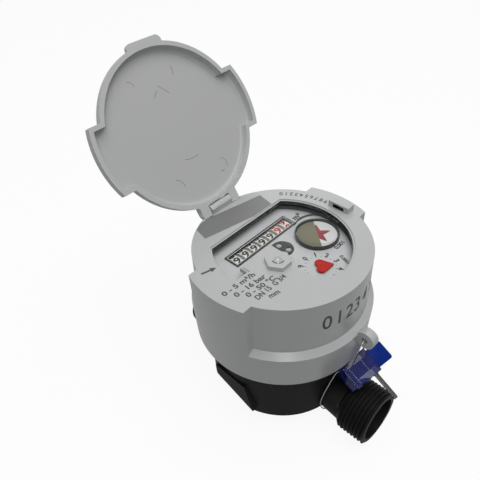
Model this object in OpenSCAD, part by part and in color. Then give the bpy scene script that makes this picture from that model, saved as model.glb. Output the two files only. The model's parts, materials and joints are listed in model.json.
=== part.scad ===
// Single-jet water meter, DN 15, with a hinged lid, a dry register and a wire seal.
// Millimetres. The pipe runs along X with the outlet at +X, and Z is up from the base.

/* [Body] */
// Radius of the pot
pot_r = 33.9; // [32:0.1:36]
// Height of the pot's lower edge above the base
pot_edge_z = 9.5; // [8.5:0.1:11]
// Radius of the flat base
base_r = 21; // [17:0.5:23]
// Wall of the pot beside the water space
pot_wall = 7.9; // [6.5:0.1:9]
// Height of the floor of the water space
floor_z = 7.5; // [7:0.1:8]
// Step from the pot out to the collar that carries the shroud
collar_step = 2.7; // [2:0.1:4]
// Height of the collar's lower face
collar_z = 46; // [44:0.5:50]
// Height of the collar
collar_h = 6; // [5:0.1:8]
// Depth of the seat for the pressure plate below the collar's top
seat_depth = 8; // [7:0.1:9]
// Width of that seat
seat_step = 5; // [4:0.1:6]
// Distance of the flat wings from the meter's axis
wing_y = 34.6; // [34.2:0.1:36]
// Thickness of a wing
wing_t = 4; // [3:0.1:6]

/* [Ports] */
// Height of the pipe axis above the base
port_z = 14.5; // [14:0.1:16]
// Distance of the outlet's end from the meter's axis
outlet_len = 57.5; // [54:0.5:70]
// Distance of the inlet's end from the meter's axis
inlet_len = 53; // [52:0.5:70]
// Outer radius of the pipe thread
thread_r = 13.22; // [12.5:0.01:14]
// Length of the pipe thread
thread_len = 13; // [10:0.5:14]
// Radius of a port's neck at the pot
neck_r = 9.4; // [9:0.1:10]
// Radius of a port's neck at the thread
neck_end_r = 10.9; // [10.6:0.1:11.4]
// Radius of the bore in a port's end
port_bore_r = 10.4; // [9:0.1:10.8]
// Depth of that bore
port_bore_depth = 13; // [12:0.5:14]
// Radius of the waterway into the pot
way_r = 6.5; // [5:0.1:6.8]

/* [Chamber] */
// Height of the measuring chamber
chamber_h = 19.5; // [18:0.5:21]
// Wall and floor of the measuring chamber
chamber_wall = 2; // [1.5:0.1:2.5]
// Thickness of the chamber's cover
chamber_cover_t = 2.5; // [2:0.1:3.5]
// Reach of the impeller's vanes
vane_r = 21.5; // [18:0.5:22]
// Number of vanes
vane_count = 8; // [6:1:10]
// Radius of the impeller's pivot pin
pivot_r = 0.8; // [0.6:0.1:1.2]
// Thickness of the pressure plate's floor
plate_floor_t = 3; // [2.5:0.1:4]
// Thickness of the pressure plate's flange
plate_flange_t = 3.5; // [3:0.1:4]
// Radius of the o-ring's section
o_ring_r = 1.2; // [1:0.1:1.4]

/* [Shroud] */
// Drop of the shroud's skirt below the collar's top
skirt_drop = 8.4; // [7:0.1:10]
// Wall of the skirt
skirt_wall = 3.2; // [2.6:0.1:4]
// Rise of the ring's top above the collar's top
shroud_rise = 35.8; // [34:0.1:40]
// Growth of the skirt's radius from its foot to its top
shroud_flare = 2.1; // [1:0.1:3]
// Wall behind the recessed front and back
ring_wall = 2.1; // [1.6:0.1:3]
// Thickness of the ring's top
ring_t = 2.5; // [2:0.1:3]
// Half width of the lobes left between the recesses
lobe_half = 14.9; // [12:0.1:18]
// Height of the ledge's outer edge above the skirt's foot
ledge_up = 16.9; // [14:0.1:20]
// Rise of the sloped ledge
ledge_rise = 2.5; // [1:0.1:4]
// Lap of the ring over the register's can
window_lap = 1.2; // [0.8:0.1:2]
// Distance of the window's straight back edge from the axis
window_back = 19.6; // [18:0.1:22]
// Place of the window's straight front edge
window_front = -2.8; // [-4:0.1:-2]
// Depth of the notch at the end of that edge
notch_w = 3.9; // [2:0.1:5]
// Distance of the notch from the middle of the window
notch_y = 22.6; // [20:0.1:25]
// Place of the window's side edge at the hexagonal boss
window_side = 4.2; // [3:0.1:5]
// Radius of the window's round bay over the pointer
bay_r = 11; // [9:0.1:12]
// Width of the step round the window
lip_w = 0.8; // [0.4:0.1:1.2]
// Depth of the step round the window
lip_t = 0.5; // [0.3:0.1:0.8]
// Corner radius of the hexagonal boss
hex_r = 5.6; // [4:0.1:6]
// Height of the hexagonal boss
hex_h = 2; // [1:0.1:2.6]
// Radius of the dimple in the boss
dimple_r = 1.8; // [1:0.1:2.5]
// Length of the keeper loop
keeper_len = 10.5; // [8:0.5:12]
// Depth of the keeper loop
keeper_w = 4.5; // [3:0.1:5]
// Height of the keeper loop
keeper_h = 3; // [2:0.1:3.2]
// Outer radius of the seal eye
eye_r = 4.3; // [3.5:0.1:5]
// Radius of the hole in the seal eye
eye_hole_r = 1.5; // [1:0.1:2]
// Thickness of the seal eye
eye_t = 4; // [3:0.1:6]

/* [Lid] */
// Outer height of the lid
lid_h = 5.7; // [5:0.1:7]
// Wall of the lid
lid_wall = 2; // [1.5:0.1:2.5]
// Angle by which the lid stands open
lid_open = 123.1; // [95:0.1:130]
// Width of the thumb tab
tab_w = 18; // [10:0.5:22]
// Reach of the thumb tab
tab_out = 1.8; // [1:0.1:4]
// Thickness of the thumb tab
tab_t = 2; // [1.5:0.1:3]
// Height of the hinge above the ring's top
hinge_up = 1.5; // [1.2:0.1:2]
// Radius of the knuckles
knuckle_r = 2.2; // [2:0.1:2.6]
// Length of each lid knuckle
knuckle_w = 4.7; // [3:0.1:8]
// Width of the shroud's hinge lug
lug_w = 12; // [8:0.1:14]
// Radius of the hinge pin
pin_r = 0.8; // [0.7:0.1:0.9]

/* [Register] */
// Depth of the dial below the ring's top
dial_depth = 6; // [5.6:0.1:7]
// Thickness of the dial
dial_t = 1; // [0.6:0.1:1.5]
// Gap between the register's can and the shroud's bore
can_gap = 3.8; // [3:0.1:5]
// Wall of the register's can
can_wall = 1.5; // [1:0.1:2]
// Thickness of the clear cover
cover_t = 1.2; // [1:0.1:1.4]
// Radius of a number drum
drum_r = 7; // [6:0.1:7.4]
// Pitch of the number drums
drum_pitch = 5.25; // [5:0.05:5.6]
// Number of drums
drum_count = 7; // [7:1:7]
// Distance of the drum axle from the meter's axis
drum_x = 11.7; // [11:0.1:12.5]
// Radius of the drum axle
axle_r = 1; // [0.8:0.1:1.5]
// Radius of the flow star
star_r = 4.7; // [4:0.1:5]
// Length of the heart pointer from its hub to its tip
heart_len = 5.7; // [5:0.1:6]
// Radius of the half-moon target disc
target_r = 8.8; // [8:0.1:9]
// Outer radius of the turret over the target disc
turret_r = 10.2; // [9.6:0.1:10.4]
// Height of the turret above the cover
turret_h = 1.3; // [0.8:0.1:2]
// Radius of the arbors
arbor_r = 0.8; // [0.6:0.1:1.2]
// Radius of the two magnets
magnet_r = 8; // [6:0.1:9]

/* [Plate and seal] */
// Length of the name plate
name_len = 37; // [28:0.5:40]
// Width of the name plate
name_w = 11.2; // [8:0.1:12]
// Thickness of the name plate, which lies flush in a pocket of the ring
name_t = 0.8; // [0.5:0.1:1.2]
// Size of the seal housing along the pipe
seal_x = 12; // [10:0.1:14]
// Size of the seal housing across the pipe
seal_y = 15.5; // [12:0.1:17]
// Height of the seal housing
seal_z = 7; // [6.4:0.1:8]
// Radius of the seal's rotor
rotor_r = 2.9; // [2:0.1:3]
// Side of the rotor's square flag
flag_size = 9.5; // [6:0.1:11]
// Thickness of the flag
flag_t = 1.6; // [1:0.1:2.5]
// Length of the housing's flat tail
tail_len = 13; // [6:0.5:14]
// Radius of the sealing wire
wire_r = 0.35; // [0.3:0.05:0.6]

/* [Clearances] */
// Radial clearance of running shafts
run_gap = 0.05; // [0.02:0.01:0.1]
// Gap between parts that slide together on assembly
fit_gap = 0.2; // [0.1:0.05:0.3]
// Gap between the closed lid and the ring
lid_gap = 0.2; // [0.1:0.05:0.4]
// Room round moving pieces
room = 0.4; // [0.3:0.05:0.6]

/* [Hidden] */
$fn = 96;

far = 200;
over = 1;

black = [0.07, 0.07, 0.075];
pale_grey = [0.71, 0.72, 0.73];
plate_grey = [0.55, 0.56, 0.56];
dial_white = [0.86, 0.87, 0.88];
steel = [0.72, 0.72, 0.7];
clear = [0.85, 0.9, 0.95, 0.35];
blue = [0.03, 0.13, 0.55];
red = [0.8, 0.15, 0.1];

// Radii that follow from the pot outwards
cavity_r = pot_r - pot_wall;
seat_r = cavity_r + seat_step;
collar_r = pot_r + collar_step;
collar_lap = 0.6;
skirt_in_r = collar_r + fit_gap;
skirt_r = skirt_in_r + skirt_wall;
lobe_r = skirt_r + shroud_flare;
upper_in_r = collar_r - collar_lap;
ring_r = upper_in_r + ring_wall;
can_r = upper_in_r - can_gap;
can_in_r = can_r - can_wall;
window_r = can_in_r - window_lap;
inner_r = can_in_r - fit_gap;

// Heights that follow from the body upwards
body_top = collar_z + collar_h;
seat_z = body_top - seat_depth;
chamber_top = floor_z + chamber_h;
plate_z = chamber_top + chamber_cover_t;
skirt_z = body_top - skirt_drop;
shroud_top = body_top + shroud_rise;
ledge_z = skirt_z + ledge_up;
case_floor_t = 2;
case_z = plate_z + plate_floor_t + fit_gap;
cover_z = shroud_top - ring_t - fit_gap - cover_t;
dial_z = shroud_top - dial_depth;
movement_top = dial_z - dial_t;
movement_z = body_top + case_floor_t;

// Hinge
hinge_x = -(ring_r - 0.7);
hinge_z = shroud_top + hinge_up;
knuckle_room = 0.3;
knuckle_y = lug_w / 2 + knuckle_room;
lug_rise = 1.2;

// Dial places
star_at = [-1.4, 1.9];
heart_at = [18, 3.4];
target_at = [4.6, 18.4];
hex_at = [7.1, -10.8];
keeper_at = [4.8, 35.2];
heart_angle = 52;
star_depth = 0.3;
pointer_z = dial_z + 0.5;
pointer_t = 0.7;
arbor_len = 9;
drum_top_gap = 0.2;
drum_gap = 0.3;
drum_z = dial_z - drum_top_gap - drum_r;
counter_len = drum_count * drum_pitch;
counter_half = sqrt(drum_r * drum_r - pow(drum_r + drum_top_gap - dial_t, 2)) + room;
axle_grip = 3;

// Wing outline on the pot's flank, as seen from the side: along X, then height
wing_outline = [[-10.7, 28], [-9.6, 21.4], [12.3, 13.1], [7.3, 27.4]];

// Slanted flat under a wing: its heading, its lean and its distance from the origin
flat_turn = -97.8;
flat_lean = 19.8;
flat_at = 26.2;

// Seal housing: where it lies on the outlet, how it is turned and how it leans
seal_turn = -8;
seal_lean = 20;
seal_at = [pot_r + 8.1, 3.6, port_z + thread_r + 0.1 + seal_x / 2 * sin(seal_lean) + seal_z / 2 * cos(seal_lean)];
eye_up = 15;
eye_at = [skirt_r + shroud_flare * eye_up / (shroud_top - skirt_z) + 3.3, 2.4, skirt_z + eye_up];

// Route of the sealing wire: from the housing round the outlet's neck, up through the eye and back
wire_route = [seal_at + [-4.5, -5.6, 2], [pot_r + 1.8, -4, 33.3], [pot_r + 0.7, -6.8, 27.5],
              [pot_r - 0.2, -9.8, 20.5], [pot_r - 0.7, -10.9, 14.5], [pot_r - 0.3, -9.2, 8.6],
              [pot_r + 0.4, -5, 4.6], [pot_r + 0.8, 0.8, 3.5], [pot_r + 0.7, 6.2, 5.4],
              [pot_r + 0.4, 9.8, 9.9], [pot_r + 0.3, 10.9, 15], [pot_r + 1.1, 10.6, 22],
              [pot_r + 3.1, 9.5, 32], [pot_r + 6.1, 8, 42], eye_at + [-1, 4.4, -6.6],
              eye_at + [0, 2.8, -1.2], eye_at, eye_at + [-0.2, -3.2, -1], eye_at + [-1, -4.4, -6.6],
              [pot_r + 6.6, -1.6, 44], [pot_r + 4.7, -0.4, 39], seal_at + [-3.8, -2.6, 2.4]];
wire_sides = 8;
wire_steps = 2;

// Revolves a profile about the pipe axis, with the profile's second coordinate along +X
module along_pipe() {
    translate([0, 0, port_z]) rotate([0, 90, 0]) rotate_extrude() children();
}

// A round rod along Y, centred on y = mid
module rod_y(r, len, x, z, mid = 0) {
    translate([x, mid, z]) rotate([90, 0, 0]) cylinder(r = r, h = len, center = true);
}

// A flat ring
module ring(r_out, r_in, h) {
    difference() {
        cylinder(r = r_out, h = h);
        translate([0, 0, -over]) cylinder(r = r_in, h = h + 2 * over);
    }
}

// Body: the pot, its two ports and its two wings
flare_len = 2.5;
thread_chamfer = 0.5;

module port_outside(len) {
    thread_at = len - thread_len;
    along_pipe() polygon([[0, cavity_r], [neck_r, cavity_r], [neck_end_r, thread_at - flare_len],
                          [thread_r, thread_at], [thread_r, len - thread_chamfer],
                          [thread_r - thread_chamfer, len], [0, len]]);
}

module port_inside(len) {
    along_pipe() polygon([[0, 0], [way_r, 0], [way_r, len - port_bore_depth - 2],
                          [port_bore_r, len - port_bore_depth], [port_bore_r, len + over],
                          [0, len + over]]);
}

module wing() {
    difference() {
        translate([0, -wing_y + wing_t, 0]) rotate([90, 0, 0])
            linear_extrude(height = wing_t) polygon(wing_outline);
        translate([0, 0, -over]) cylinder(r = cavity_r + over, h = far);
    }
}

module pot() {
    difference() {
        rotate_extrude() polygon([[0, 0], [base_r, 0], [pot_r - 1, pot_edge_z - 0.8],
                                  [pot_r, pot_edge_z], [pot_r, collar_z], [collar_r, collar_z],
                                  [collar_r, body_top], [0, body_top]]);
        for (m = [0, 1]) mirror([0, m, 0]) rotate([0, flat_lean, flat_turn])
            translate([flat_at, -far, -far]) cube([far, 2 * far, 2 * far]);
    }
}

module body() {
    color(black) difference() {
        union() {
            pot();
            port_outside(outlet_len);
            mirror([1, 0, 0]) port_outside(inlet_len);
            wing();
            mirror([0, 1, 0]) wing();
        }
        translate([0, 0, floor_z]) cylinder(r = cavity_r, h = far);
        translate([0, 0, seat_z]) cylinder(r = seat_r, h = far);
        port_inside(outlet_len);
        mirror([1, 0, 0]) port_inside(inlet_len);
    }
}

// Strainer: a rimmed disc with slots, seated on the shoulder of the inlet's bore
strainer_len = 4;
strainer_wall = 1;
slot_w = 1.4;
slot_count = 5;

module inlet_strainer() {
    seat_x = inlet_len - port_bore_depth;
    sieve_r = port_bore_r - fit_gap;
    color(dial_white) mirror([1, 0, 0]) difference() {
        along_pipe() polygon([[0, seat_x], [sieve_r, seat_x], [sieve_r, seat_x + strainer_len],
                              [sieve_r - strainer_wall, seat_x + strainer_len],
                              [sieve_r - strainer_wall, seat_x + strainer_wall],
                              [0, seat_x + strainer_wall]]);
        for (i = [0 : slot_count - 1]) {
            y = (i - (slot_count - 1) / 2) * 2 * slot_w;
            half = sqrt(pow(sieve_r - 2 * strainer_wall, 2) - y * y);
            translate([seat_x - over, y - slot_w / 2, port_z - half])
                cube([strainer_wall + 2 * over, slot_w, 2 * half]);
        }
    }
}

// Measuring chamber and its impeller
chamber_r = cavity_r - fit_gap;
hub_r = 4;
vane_t = 1;
vane_z = floor_z + chamber_wall + 1.5;
vane_h = chamber_h - chamber_wall - 6;
hub_z = floor_z + chamber_wall + over;
carrier_h = 2;
spigot_r = 2;
pivot_rise = 6;

module measuring_chamber() {
    color(dial_white) difference() {
        translate([0, 0, floor_z]) cylinder(r = chamber_r, h = chamber_h);
        translate([0, 0, floor_z + chamber_wall]) cylinder(r = chamber_r - chamber_wall, h = chamber_h);
        translate([-far / 2, 1, port_z - way_r + 2]) cube([far, way_r, 2 * way_r - 3]);
        translate([0, 0, -over]) cylinder(r = pivot_r, h = floor_z + chamber_wall + 2 * over);
    }
}

module chamber_cover() {
    color(dial_white) translate([0, 0, chamber_top]) ring(chamber_r, spigot_r + run_gap, chamber_cover_t);
}

module pivot_pin() {
    color(steel) translate([0, 0, floor_z]) cylinder(r = pivot_r, h = chamber_wall + pivot_rise);
}

module impeller() {
    vane_top = vane_z + vane_h;
    color(dial_white) difference() {
        union() {
            translate([0, 0, hub_z]) cylinder(r = hub_r, h = vane_top - hub_z);
            translate([0, 0, vane_top]) cylinder(r = magnet_r, h = carrier_h);
            translate([0, 0, vane_top]) cylinder(r = spigot_r, h = chamber_top + 2 - vane_top);
            for (i = [0 : vane_count - 1]) rotate(i * 360 / vane_count)
                translate([0, -vane_t / 2, vane_z]) cube([vane_r, vane_t, vane_h]);
        }
        translate([0, 0, floor_z])
            cylinder(r = pivot_r + run_gap, h = chamber_wall + pivot_rise + fit_gap);
    }
}

// Pressure plate, its o-ring and the ring that clamps it
plate_r = seat_r - fit_gap;
plate_cup_r = cavity_r - fit_gap;
plate_cup_wall = 3.6;
o_ring_at = (cavity_r + seat_r) / 2;
groove_gap = 0.1;

module pressure_plate() {
    color(dial_white) difference() {
        rotate_extrude() polygon([[0, plate_z], [plate_cup_r, plate_z], [plate_cup_r, seat_z],
                                  [plate_r, seat_z], [plate_r, seat_z + plate_flange_t],
                                  [plate_cup_r - plate_cup_wall, seat_z + plate_flange_t],
                                  [plate_cup_r - plate_cup_wall, plate_z + plate_floor_t],
                                  [0, plate_z + plate_floor_t]]);
        translate([0, 0, seat_z - over])
            ring(o_ring_at + o_ring_r + groove_gap, o_ring_at - o_ring_r - groove_gap,
                 2 * o_ring_r + over + groove_gap);
    }
}

module o_ring() {
    color(black) translate([0, 0, seat_z + o_ring_r])
        rotate_extrude() translate([o_ring_at, 0]) circle(r = o_ring_r, $fn = 32);
}

module retaining_ring() {
    color(black) translate([0, 0, seat_z + plate_flange_t])
        ring(plate_r, plate_cup_r - plate_cup_wall, seat_depth - plate_flange_t - fit_gap);
}

// Register: the can, the block with the gearing, and what turns in it
case_neck_r = plate_cup_r - plate_cup_wall - fit_gap;
magnet_h = 5;
magnet_z = case_z + case_floor_t + 1;
pivot_depth = 1.2;
arbor_in = 6;

module register_case() {
    color(black) difference() {
        rotate_extrude() polygon([[0, case_z], [case_neck_r, case_z], [case_neck_r, body_top],
                                  [can_r, body_top], [can_r, cover_z], [can_in_r, cover_z],
                                  [can_in_r, movement_z], [case_neck_r - case_floor_t, movement_z],
                                  [case_neck_r - case_floor_t, case_z + case_floor_t],
                                  [0, case_z + case_floor_t]]);
        translate([0, 0, case_z + case_floor_t - pivot_depth])
            cylinder(r = arbor_r + run_gap, h = case_floor_t);
    }
}

module driven_magnet() {
    color(steel) {
        translate([0, 0, magnet_z]) cylinder(r = magnet_r, h = magnet_h);
        translate([0, 0, case_z + case_floor_t - pivot_depth + fit_gap])
            cylinder(r = arbor_r, h = movement_z + arbor_in - case_z - case_floor_t + pivot_depth - 2 * fit_gap);
    }
}

module arbor_hole(at) {
    translate([at[0], at[1], movement_top - arbor_len - fit_gap])
        cylinder(r = arbor_r + run_gap, h = far);
}

module movement() {
    trough_half = drum_r + room;
    color(black) difference() {
        translate([0, 0, movement_z]) cylinder(r = inner_r, h = movement_top - movement_z);
        translate([-drum_x - trough_half, -counter_len / 2 - room, drum_z - trough_half])
            cube([2 * trough_half, counter_len + 2 * room, far]);
        rod_y(axle_r, counter_len + 2 * room + 2 * axle_grip, -drum_x, drum_z);
        translate([0, 0, movement_z - over]) cylinder(r = arbor_r + run_gap, h = arbor_in + over);
        translate([star_at[0], star_at[1], movement_top - 2 * room]) cylinder(r = star_r + room, h = far);
        for (at = [star_at, heart_at, target_at]) arbor_hole(at);
    }
}

module drum_axle() {
    color(steel) rod_y(axle_r, counter_len + 2 * room + 2 * axle_grip, -drum_x, drum_z);
}

module drum(i) {
    mid = (i - (drum_count + 1) / 2) * drum_pitch;
    color(i > drum_count - 2 ? red : dial_white) difference() {
        rod_y(drum_r, drum_pitch - drum_gap, -drum_x, drum_z, mid);
        rod_y(axle_r + run_gap, drum_pitch + over, -drum_x, drum_z, mid);
    }
}

module dial_plate() {
    color(dial_white) difference() {
        translate([0, 0, movement_top]) cylinder(r = inner_r, h = dial_t);
        translate([-drum_x - counter_half, -counter_len / 2 - room, 0])
            cube([2 * counter_half, counter_len + 2 * room, far]);
        translate(star_at) cylinder(r = star_r + room, h = far);
        for (at = [heart_at, target_at]) translate(at) cylinder(r = arbor_r + room, h = far);
    }
}

// Frame of the counter's window, resting on the dial round the opening and reaching in over it
frame_rest = 0.3;
frame_reach = 0.8;
frame_t = 0.5;

module counter_frame() {
    half_x = counter_half;
    half_y = counter_len / 2 + room;
    color(black) translate([-drum_x, 0, dial_z]) difference() {
        translate([-half_x - frame_rest, -half_y - frame_rest, 0])
            cube([2 * (half_x + frame_rest), 2 * (half_y + frame_rest), frame_t]);
        translate([frame_reach - half_x, frame_reach - half_y, -over])
            cube([2 * (half_x - frame_reach), 2 * (half_y - frame_reach), frame_t + 2 * over]);
    }
}

module arbor(at, top) {
    translate([at[0], at[1], movement_top - arbor_len])
        cylinder(r = arbor_r, h = top - movement_top + arbor_len);
}

// Flow star: a disc with petal-shaped windows
petal_count = 3;
petal_r = 1.25;
petal_at = 2.75;
petal_turn = 40;

module star_indicator() {
    star_z = dial_z - star_depth - pointer_t;
    color(black) {
        translate([star_at[0], star_at[1], star_z]) difference() {
            cylinder(r = star_r, h = pointer_t);
            for (i = [0 : petal_count - 1]) rotate(petal_turn + i * 360 / petal_count)
                translate([petal_at, 0, -over]) cylinder(r = petal_r, h = pointer_t + 2 * over);
        }
        arbor(star_at, star_z + pointer_t);
    }
}

// Heart pointer: two round lobes at the hub and a tapered tip
heart_lobe_r = 2.1;
heart_lobe_gap = 1.7;

module heart_pointer() {
    tangent = acos(heart_lobe_r / norm([heart_len, heart_lobe_gap]));
    foot = tangent + atan2(-heart_lobe_gap, heart_len);
    color(red) {
        translate([heart_at[0], heart_at[1], pointer_z]) rotate(heart_angle) union() {
            for (s = [-1, 1]) translate([0, s * heart_lobe_gap, 0]) cylinder(r = heart_lobe_r, h = pointer_t);
            linear_extrude(height = pointer_t) polygon([
                [heart_lobe_r * cos(foot), heart_lobe_gap + heart_lobe_r * sin(foot)],
                [0, heart_lobe_gap], [0, -heart_lobe_gap],
                [heart_lobe_r * cos(foot), -heart_lobe_gap - heart_lobe_r * sin(foot)],
                [heart_len, 0]]);
        }
        arbor(heart_at, pointer_z + pointer_t);
    }
}

module target_disc() {
    color(dial_white) {
        translate([target_at[0], target_at[1], pointer_z]) cylinder(r = target_r, h = pointer_t);
        arbor(target_at, pointer_z + pointer_t);
    }
}

// Dark ring that stands on the dial round the target disc, under the turret
bezel_wall = 0.6;

module target_bezel() {
    color(black) translate([target_at[0], target_at[1], dial_z])
        ring(target_r + room + bezel_wall, target_r + room, cover_z - dial_z);
}

module register_cover() {
    color(clear) {
        translate([0, 0, cover_z]) cylinder(r = can_r, h = cover_t);
        translate([target_at[0], target_at[1], cover_z + cover_t]) cylinder(r = turret_r, h = turret_h);
    }
}

// Shroud
module window_cut(grow, z) {
    intersection() {
        translate([0, 0, z]) cylinder(r = window_r + grow, h = far);
        union() {
            translate([-window_back - grow, -far, z]) cube([window_back + window_front + 2 * grow, 2 * far, far]);
            translate([-window_back - grow, -far, z])
                cube([window_back + window_front + notch_w + 2 * grow, far - notch_y + grow, far]);
            translate([-window_back - grow, -window_side - grow, z])
                cube([window_back + grow + heart_at[0], far, far]);
            translate([heart_at[0] - over, heart_at[1], z]) cube([far, far, far]);
            translate([heart_at[0], heart_at[1], z]) cylinder(r = bay_r + grow, h = far);
        }
    }
}

module recess(side) {
    reach = 8;
    slope = ledge_rise / (skirt_r + shroud_flare * ledge_up / (shroud_top - skirt_z) - ring_r);
    top = shroud_top + over;
    intersection() {
        rotate_extrude() polygon([[ring_r, ledge_z + ledge_rise], [ring_r + reach, ledge_z + ledge_rise - reach * slope],
                                  [ring_r + reach, top], [ring_r, top]]);
        translate([side > 0 ? lobe_half : -lobe_half - far, -far, 0]) cube([far, 2 * far, far]);
    }
}

// Name plate: set a little crooked in the ring, trimmed by the ring's edge, the hinge and the window
name_at = [-27.7, -0.4];
name_turn = -12;
name_land = 0.4;
pocket_gap = 0.05;

module name_form(grow, h) {
    back = -hinge_x - knuckle_r - name_land / 2;
    front = window_back + lip_w + name_land;
    intersection() {
        translate([name_at[0], name_at[1], 0]) rotate(name_turn)
            translate([-name_w / 2 - grow, -name_len / 2 - grow, 0]) cube([name_w + 2 * grow, name_len + 2 * grow, h]);
        cylinder(r = ring_r - name_land + grow, h = h);
        translate([-back - grow, -far, 0]) cube([back - front + 2 * grow, 2 * far, h]);
    }
}

module hex_boss() {
    translate([hex_at[0], hex_at[1], shroud_top]) difference() {
        rotate(30) cylinder(r = hex_r, h = hex_h, $fn = 6);
        translate([0, 0, hex_h + dimple_r * 0.4]) sphere(r = dimple_r);
    }
}

keeper_wall = 1.2;
keeper_roof = 0.9;

module keeper() {
    translate([keeper_at[0] - keeper_len / 2, keeper_at[1] - keeper_w / 2, shroud_top]) difference() {
        cube([keeper_len, keeper_w, keeper_h]);
        translate([2 * keeper_wall, -over, 0.4])
            cube([keeper_len - 4 * keeper_wall, keeper_w + 2 * over, keeper_h - keeper_roof - 0.4]);
    }
}

module hinge_lug() {
    difference() {
        union() {
            rod_y(knuckle_r, lug_w, hinge_x, hinge_z);
            translate([hinge_x, -lug_w / 2, shroud_top - ring_t])
                cube([knuckle_r, lug_w, ring_t + hinge_up + lug_rise]);
            translate([-ring_r, -lug_w / 2, shroud_top - ring_t]) cube([ring_r + hinge_x, lug_w, ring_t + hinge_up]);
        }
        rod_y(pin_r, lug_w + 2 * over, hinge_x, hinge_z);
    }
}

module seal_eye() {
    difference() {
        rod_y(eye_r, eye_t, eye_at[0], eye_at[2], eye_at[1]);
        rod_y(eye_hole_r, eye_t + 2 * over, eye_at[0], eye_at[2], eye_at[1]);
    }
}

module shroud() {
    color(pale_grey) {
        difference() {
            union() {
                difference() {
                    translate([0, 0, skirt_z]) cylinder(r1 = skirt_r, r2 = lobe_r, h = shroud_top - skirt_z);
                    recess(1);
                    recess(-1);
                }
                seal_eye();
            }
            translate([0, 0, skirt_z - over]) cylinder(r = skirt_in_r, h = skirt_drop + over);
            translate([0, 0, body_top - over]) cylinder(r = upper_in_r, h = shroud_top - ring_t - body_top + over);
            window_cut(0, shroud_top - ring_t - over);
            window_cut(lip_w, shroud_top - lip_t);
            translate([0, 0, shroud_top - name_t]) name_form(pocket_gap, name_t + over);
            for (s = [-1, 1])
                rod_y(norm([knuckle_r, hinge_up - lid_gap]) + knuckle_room, knuckle_w + 2 * knuckle_room,
                      hinge_x, hinge_z, s * (knuckle_y + knuckle_w / 2));
        }
        hex_boss();
        keeper();
        hinge_lug();
    }
}

// Lid, drawn closed on the ring and then swung open about the hinge
lid_z = shroud_top + lid_gap;
lid_round = 2.2;
lid_r = ring_r - 1.1;
lid_x = 1.3;
tab_round = 2.4;
tab_y = 1.3;
knuckle_web = 3.4;

module capped_disc(r, h, round) {
    rotate_extrude() polygon([[0, 0], [r, 0], [r, h - round], [r - round * 0.3, h - round * 0.3],
                              [r - round, h], [0, h]]);
}

module lid_form(inset, h, round) {
    capped_disc(lid_r - inset, h, round);
    intersection() {
        capped_disc(lobe_r - inset, h, round);
        translate([-lobe_half + inset, -far, 0]) cube([2 * (lobe_half - inset), 2 * far, 2 * far]);
    }
}

// Thumb tab with its two outer corners rounded
module thumb_tab() {
    reach = lid_r + tab_out;
    half = tab_w / 2;
    cube_from = lid_r / 2;
    translate([0, tab_y, 0]) {
        translate([cube_from, -half, 0]) cube([reach - tab_round - cube_from, tab_w, tab_t]);
        translate([cube_from, tab_round - half, 0]) cube([reach - cube_from, tab_w - 2 * tab_round, tab_t]);
        for (s = [-1, 1]) translate([reach - tab_round, s * (half - tab_round), 0])
            cylinder(r = tab_round, h = tab_t);
    }
}

module lid_closed() {
    difference() {
        union() {
            translate([lid_x, 0, lid_z]) lid_form(0, lid_h, lid_round);
            translate([lid_x, 0, lid_z]) thumb_tab();
            for (s = [-1, 1]) {
                rod_y(knuckle_r, knuckle_w, hinge_x, hinge_z, s * (knuckle_y + knuckle_w / 2));
                translate([hinge_x, s * (knuckle_y + knuckle_w / 2) - knuckle_w / 2, lid_z]) {
                    cube([knuckle_web, knuckle_w, knuckle_r + hinge_up - lid_gap]);
                    translate([-knuckle_r, 0, 0]) cube([knuckle_r, knuckle_w, hinge_up - lid_gap]);
                }
            }
        }
        translate([-far, -far, lid_z - far]) cube([2 * far, 2 * far, far]);
        translate([lid_x, 0, lid_z - far]) lid_form(lid_wall, lid_h - lid_wall + far, lid_round);
        rod_y(norm([knuckle_r, lug_rise]) + room, 2 * knuckle_y, hinge_x, hinge_z);
        translate([hinge_x - far, -knuckle_y, lid_z - far])
            cube([far + knuckle_r + room, 2 * knuckle_y, far + hinge_up]);
        rod_y(pin_r + run_gap, 2 * (knuckle_y + knuckle_w + over), hinge_x, hinge_z);
    }
}

module lid() {
    color(pale_grey) translate([hinge_x, 0, hinge_z]) rotate([0, -lid_open, 0])
        translate([-hinge_x, 0, -hinge_z]) lid_closed();
}

module hinge_pin() {
    color(steel) rod_y(pin_r, 2 * (knuckle_y + knuckle_w), hinge_x, hinge_z);
}

module name_plate() {
    color(plate_grey) translate([0, 0, shroud_top - name_t]) name_form(0, name_t);
}

// Seal: a clear housing, a blue rotor with a flag, and the wire
module at_seal() {
    translate(seal_at) rotate([0, seal_lean, seal_turn]) children();
}

tail_w = 2.2;
tail_t = 1;
tail_in = 1.2;

module seal_body() {
    color(clear) at_seal() difference() {
        union() {
            translate([-seal_x / 2, -seal_y / 2, -seal_z / 2]) cube([seal_x, seal_y, seal_z]);
            translate([seal_x / 2 - over, seal_y / 2 - tail_w - tail_in, 0])
                cube([tail_len + over, tail_w, tail_t]);
        }
        translate([0, seal_y / 2 + over, 0]) rotate([90, 0, 0])
            cylinder(r = rotor_r + run_gap, h = seal_y - chamber_wall + over);
    }
}

module seal_rotor() {
    flag_neck = 1;
    color(blue) at_seal() {
        translate([0, seal_y / 2 + flag_neck, 0]) rotate([90, 0, 0])
            cylinder(r = rotor_r, h = seal_y + flag_neck - chamber_wall - fit_gap);
        translate([-flag_size / 2, seal_y / 2 + flag_neck, -flag_t / 2]) cube([flag_size, flag_size, flag_t]);
    }
}

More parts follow.
